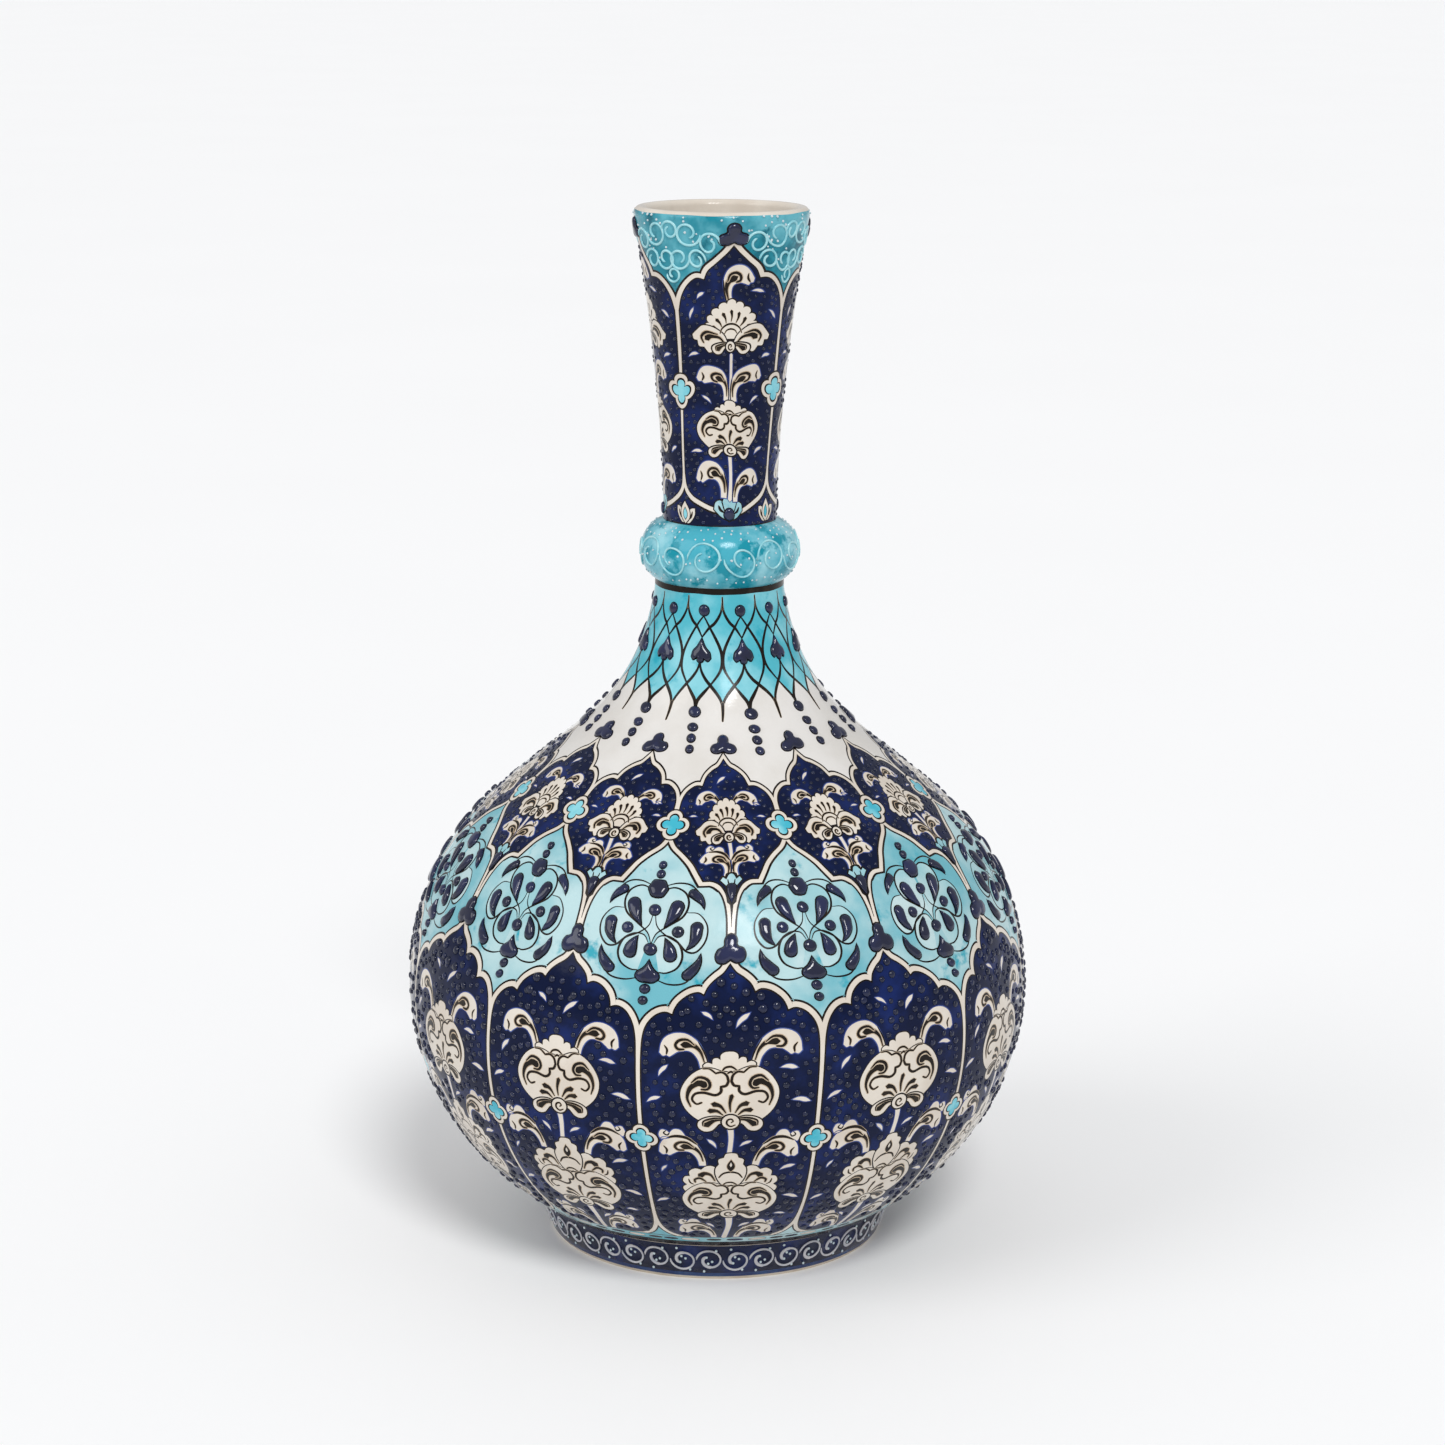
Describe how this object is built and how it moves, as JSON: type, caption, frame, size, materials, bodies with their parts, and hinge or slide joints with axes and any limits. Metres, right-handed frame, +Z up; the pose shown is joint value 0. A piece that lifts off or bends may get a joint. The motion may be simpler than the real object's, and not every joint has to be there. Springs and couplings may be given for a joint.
{
  "type": "bottle vase",
  "caption": "Long-necked bottle vase in glazed pottery: round belly on a foot ring, coned shoulder, collar bead and flared neck, with raised slip relief in cobalt, turquoise and white",
  "frame": {"origin": "centre of the foot ring's resting face", "axes": "+Z up along the vase's axis of turning; -Y through the middle of a tall arch panel"},
  "size_m": [0.24, 0.24, 0.4],
  "materials": {
    "foot_glaze": "gloss cobalt glaze with pale slip scrolls",
    "belly_glaze": "gloss off-white ground with turquoise and cobalt fields",
    "neck_glaze": "gloss off-white ground with cobalt panels and a turquoise rim",
    "collar_glaze": "gloss turquoise glaze with pale slip spirals",
    "relief_glaze": "gloss cobalt slip, raised"
  },
  "bodies": {
    "root": {"foot_ring": "foot_glaze", "lower_belly": "belly_glaze", "upper_belly": "belly_glaze", "shoulder_cone": "belly_glaze", "neck_tube": "neck_glaze", "neck_collar": "collar_glaze", "arch_trefoils": "relief_glaze", "medallion_beads": "relief_glaze", "medallion_drops": "relief_glaze", "medallion_hearts": "relief_glaze", "tip_drops": "relief_glaze", "shoulder_trefoils": "relief_glaze", "pendant_beads": "relief_glaze", "cone_hearts": "relief_glaze", "cone_beads": "relief_glaze", "neck_trefoils": "relief_glaze", "neck_tip_beads": "relief_glaze"}
  },
  "joints": []
}
